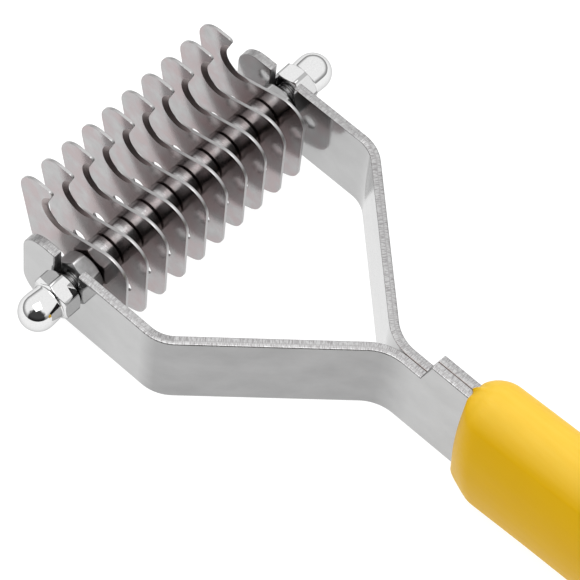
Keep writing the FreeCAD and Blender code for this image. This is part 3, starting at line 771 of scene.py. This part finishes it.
def make_handle_mouth():
    """The swell of plastic that the mould leaves where the handle hugs the two strips."""
    cad_mesh = bmesh.new()
    cad_mesh.from_mesh(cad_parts["handle"].data)
    tree = BVHTree.FromBMesh(cad_mesh)
    steps = 14
    shape = bmesh.new()
    columns = []
    for place in lip_path():
        x, z, out_x, out_z = place
        heights = mouth_ring_heights(tree, place, steps)
        first, last = heights[0], heights[-1]
        bottom = last[1] - MOUTH_SUNK
        levels = [(first[0], bottom)] + heights + [(last[0], bottom)]
        columns.append([shape.verts.new((x + out_x * r, y, z + out_z * r)) for r, y in levels])
    count = len(columns)
    rings = len(columns[0])
    for index in range(count):
        here, beside = columns[index], columns[(index + 1) % count]
        for ring in range(rings):
            after = (ring + 1) % rings
            shape.faces.new((here[ring], here[after], beside[after], beside[ring]))
    bmesh.ops.recalc_face_normals(shape, faces=shape.faces)
    cad_mesh.free()
    new_piece("handle_mouth", shape, YELLOW, "fork", None)


# ------------------------------------------------------------------- build the comb

for arm_side in ("left", "right"):
    make_fork_arm(arm_side)
make_threaded_rod()
make_nut("domed_nut_left", CHROME, LEFT_DOMED_NUT_CORNER, True)
make_nut("domed_nut_right", CHROME, RIGHT_DOMED_NUT_CORNER, True)
make_nut("jam_nut_left", JAM_STEEL, LEFT_JAM_NUT_CORNER, False)
make_nut("jam_nut_right", JAM_STEEL, RIGHT_JAM_NUT_CORNER, False)
make_handle_mouth()
for node_name in sorted(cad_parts):
    if node_name.startswith("blade_"):
        finish_node(node_name, BLADE_STEEL, 0.05 * MM)
    elif node_name.startswith("spacer_"):
        finish_node(node_name, SPACER_STEEL, 0.05 * MM)
    elif node_name == "handle":
        finish_node(node_name, YELLOW, 0.10 * MM)


# -------------------------------------------------------------- floor, lights, camera


def make_floor():
    size = 3.0
    bpy.ops.mesh.primitive_plane_add(size=2 * size, location=(0, 0, cad_low.z - 0.05 * MM))
    floor = bpy.context.object
    floor.name = "floor"
    floor.data.materials.append(make_floor_white())


def world_node(tree, kind, operation=None, **inputs):
    """A node of the world's tree; an input may be another node's output."""
    node = tree.nodes.new(kind)
    if operation:
        node.operation = operation
    for key, value in inputs.items():
        socket = node.inputs[key.replace("_", " ")]
        if isinstance(value, bpy.types.NodeSocket):
            tree.links.new(value, socket)
        else:
            socket.default_value = value
    return node


def smooth_step(tree, value, start, stop, low, high):
    """Run smoothly from low to high while the value runs from start to stop."""
    ramp = tree.nodes.new("ShaderNodeMapRange")
    ramp.interpolation_type = "SMOOTHSTEP"
    tree.links.new(value, ramp.inputs["Value"])
    ramp.inputs["From Min"].default_value = start
    ramp.inputs["From Max"].default_value = stop
    ramp.inputs["To Min"].default_value = low
    ramp.inputs["To Max"].default_value = high
    return ramp.outputs[0]


def make_world():
    """A white ceiling over a dim room, darkest and a little cluttered on one side."""
    world = bpy.data.worlds.new("studio")
    bpy.context.scene.world = world
    world.use_nodes = True
    tree = world.node_tree
    background = tree.nodes["Background"]
    background.inputs["Color"].default_value = (1, 1, 1, 1)
    place = tree.nodes.new("ShaderNodeTexCoord").outputs["Generated"]
    rise = world_node(tree, "ShaderNodeSeparateXYZ", Vector=place).outputs[2]
    upper_wall = (math.sin(ROOM_TOP), math.sin(CEILING_START))
    band = smooth_step(tree, rise, *upper_wall, ROOM_LIGHT, CEILING_LIGHT)

    toward = tree.nodes.new("ShaderNodeVectorMath")
    toward.operation = "DOT_PRODUCT"
    toward.inputs[1].default_value = DARK_SIDE
    tree.links.new(place, toward.inputs[0])
    clutter = world_node(tree, "ShaderNodeTexNoise", Vector=place, Scale=3.0, Detail=2.0)
    ragged = world_node(tree, "ShaderNodeMath", "MULTIPLY_ADD")
    ragged.inputs[1].default_value = CLUTTER
    ragged.inputs[2].default_value = -CLUTTER / 2
    tree.links.new(clutter.outputs[0], ragged.inputs[0])
    nearness = world_node(tree, "ShaderNodeMath", "ADD")
    tree.links.new(toward.outputs["Value"], nearness.inputs[0])
    tree.links.new(ragged.outputs[0], nearness.inputs[1])
    dark = (math.cos(DARK_EDGE), math.cos(DARK_CORE))
    shade = smooth_step(tree, nearness.outputs[0], *dark, 1.0, DARK_LIGHT)
    light = tree.nodes.new("ShaderNodeMath")
    light.operation = "MULTIPLY"
    tree.links.new(band, light.inputs[0])
    tree.links.new(shade, light.inputs[1])
    tree.links.new(light.outputs[0], background.inputs["Strength"])


def add_softbox(name, place, target, size, power):
    light = bpy.data.lights.new(name, "AREA")
    light.shape = "RECTANGLE"
    light.size, light.size_y = size
    light.energy = power
    lamp = bpy.data.objects.new(name, light)
    lamp.location = place
    lamp.rotation_mode = "QUATERNION"
    lamp.rotation_quaternion = (Vector(place) - Vector(target)).to_track_quat("Z", "Y")
    bpy.context.scene.collection.objects.link(lamp)


def make_camera():
    """A long lens above the left arm, turned a little about its own axis."""
    aim = Vector((-1.46, 131.74, -1.6)) * MM
    azimuth = math.radians(-53.864)
    elevation = math.radians(59.352)
    roll = math.radians(7.437)
    distance = 609.51 * MM
    back = Vector(
        (
            math.sin(azimuth) * math.cos(elevation),
            -math.cos(azimuth) * math.cos(elevation),
            math.sin(elevation),
        )
    )
    level = Vector((0, 0, 1)).cross(back).normalized()
    upright = back.cross(level)
    right = level * math.cos(roll) + upright * math.sin(roll)
    up = upright * math.cos(roll) - level * math.sin(roll)
    lens = bpy.data.cameras.new("camera")
    lens.sensor_width = 36
    lens.lens = 206.26
    lens.clip_start = 0.05
    lens.clip_end = 20
    camera = bpy.data.objects.new("camera", lens)
    axes = Matrix((right, up, back)).transposed().to_4x4()
    camera.matrix_world = Matrix.Translation(aim + back * distance) @ axes
    bpy.context.scene.collection.objects.link(camera)
    bpy.context.scene.camera = camera


make_floor()
make_world()
middle = (cad_low + cad_high) / 2
above = middle + Vector((-0.12, 0.04, 0.95))
add_softbox("overhead", above, middle, size=(0.75, 0.75), power=4.6)
make_camera()
bpy.context.scene.view_settings.view_transform = "Standard"
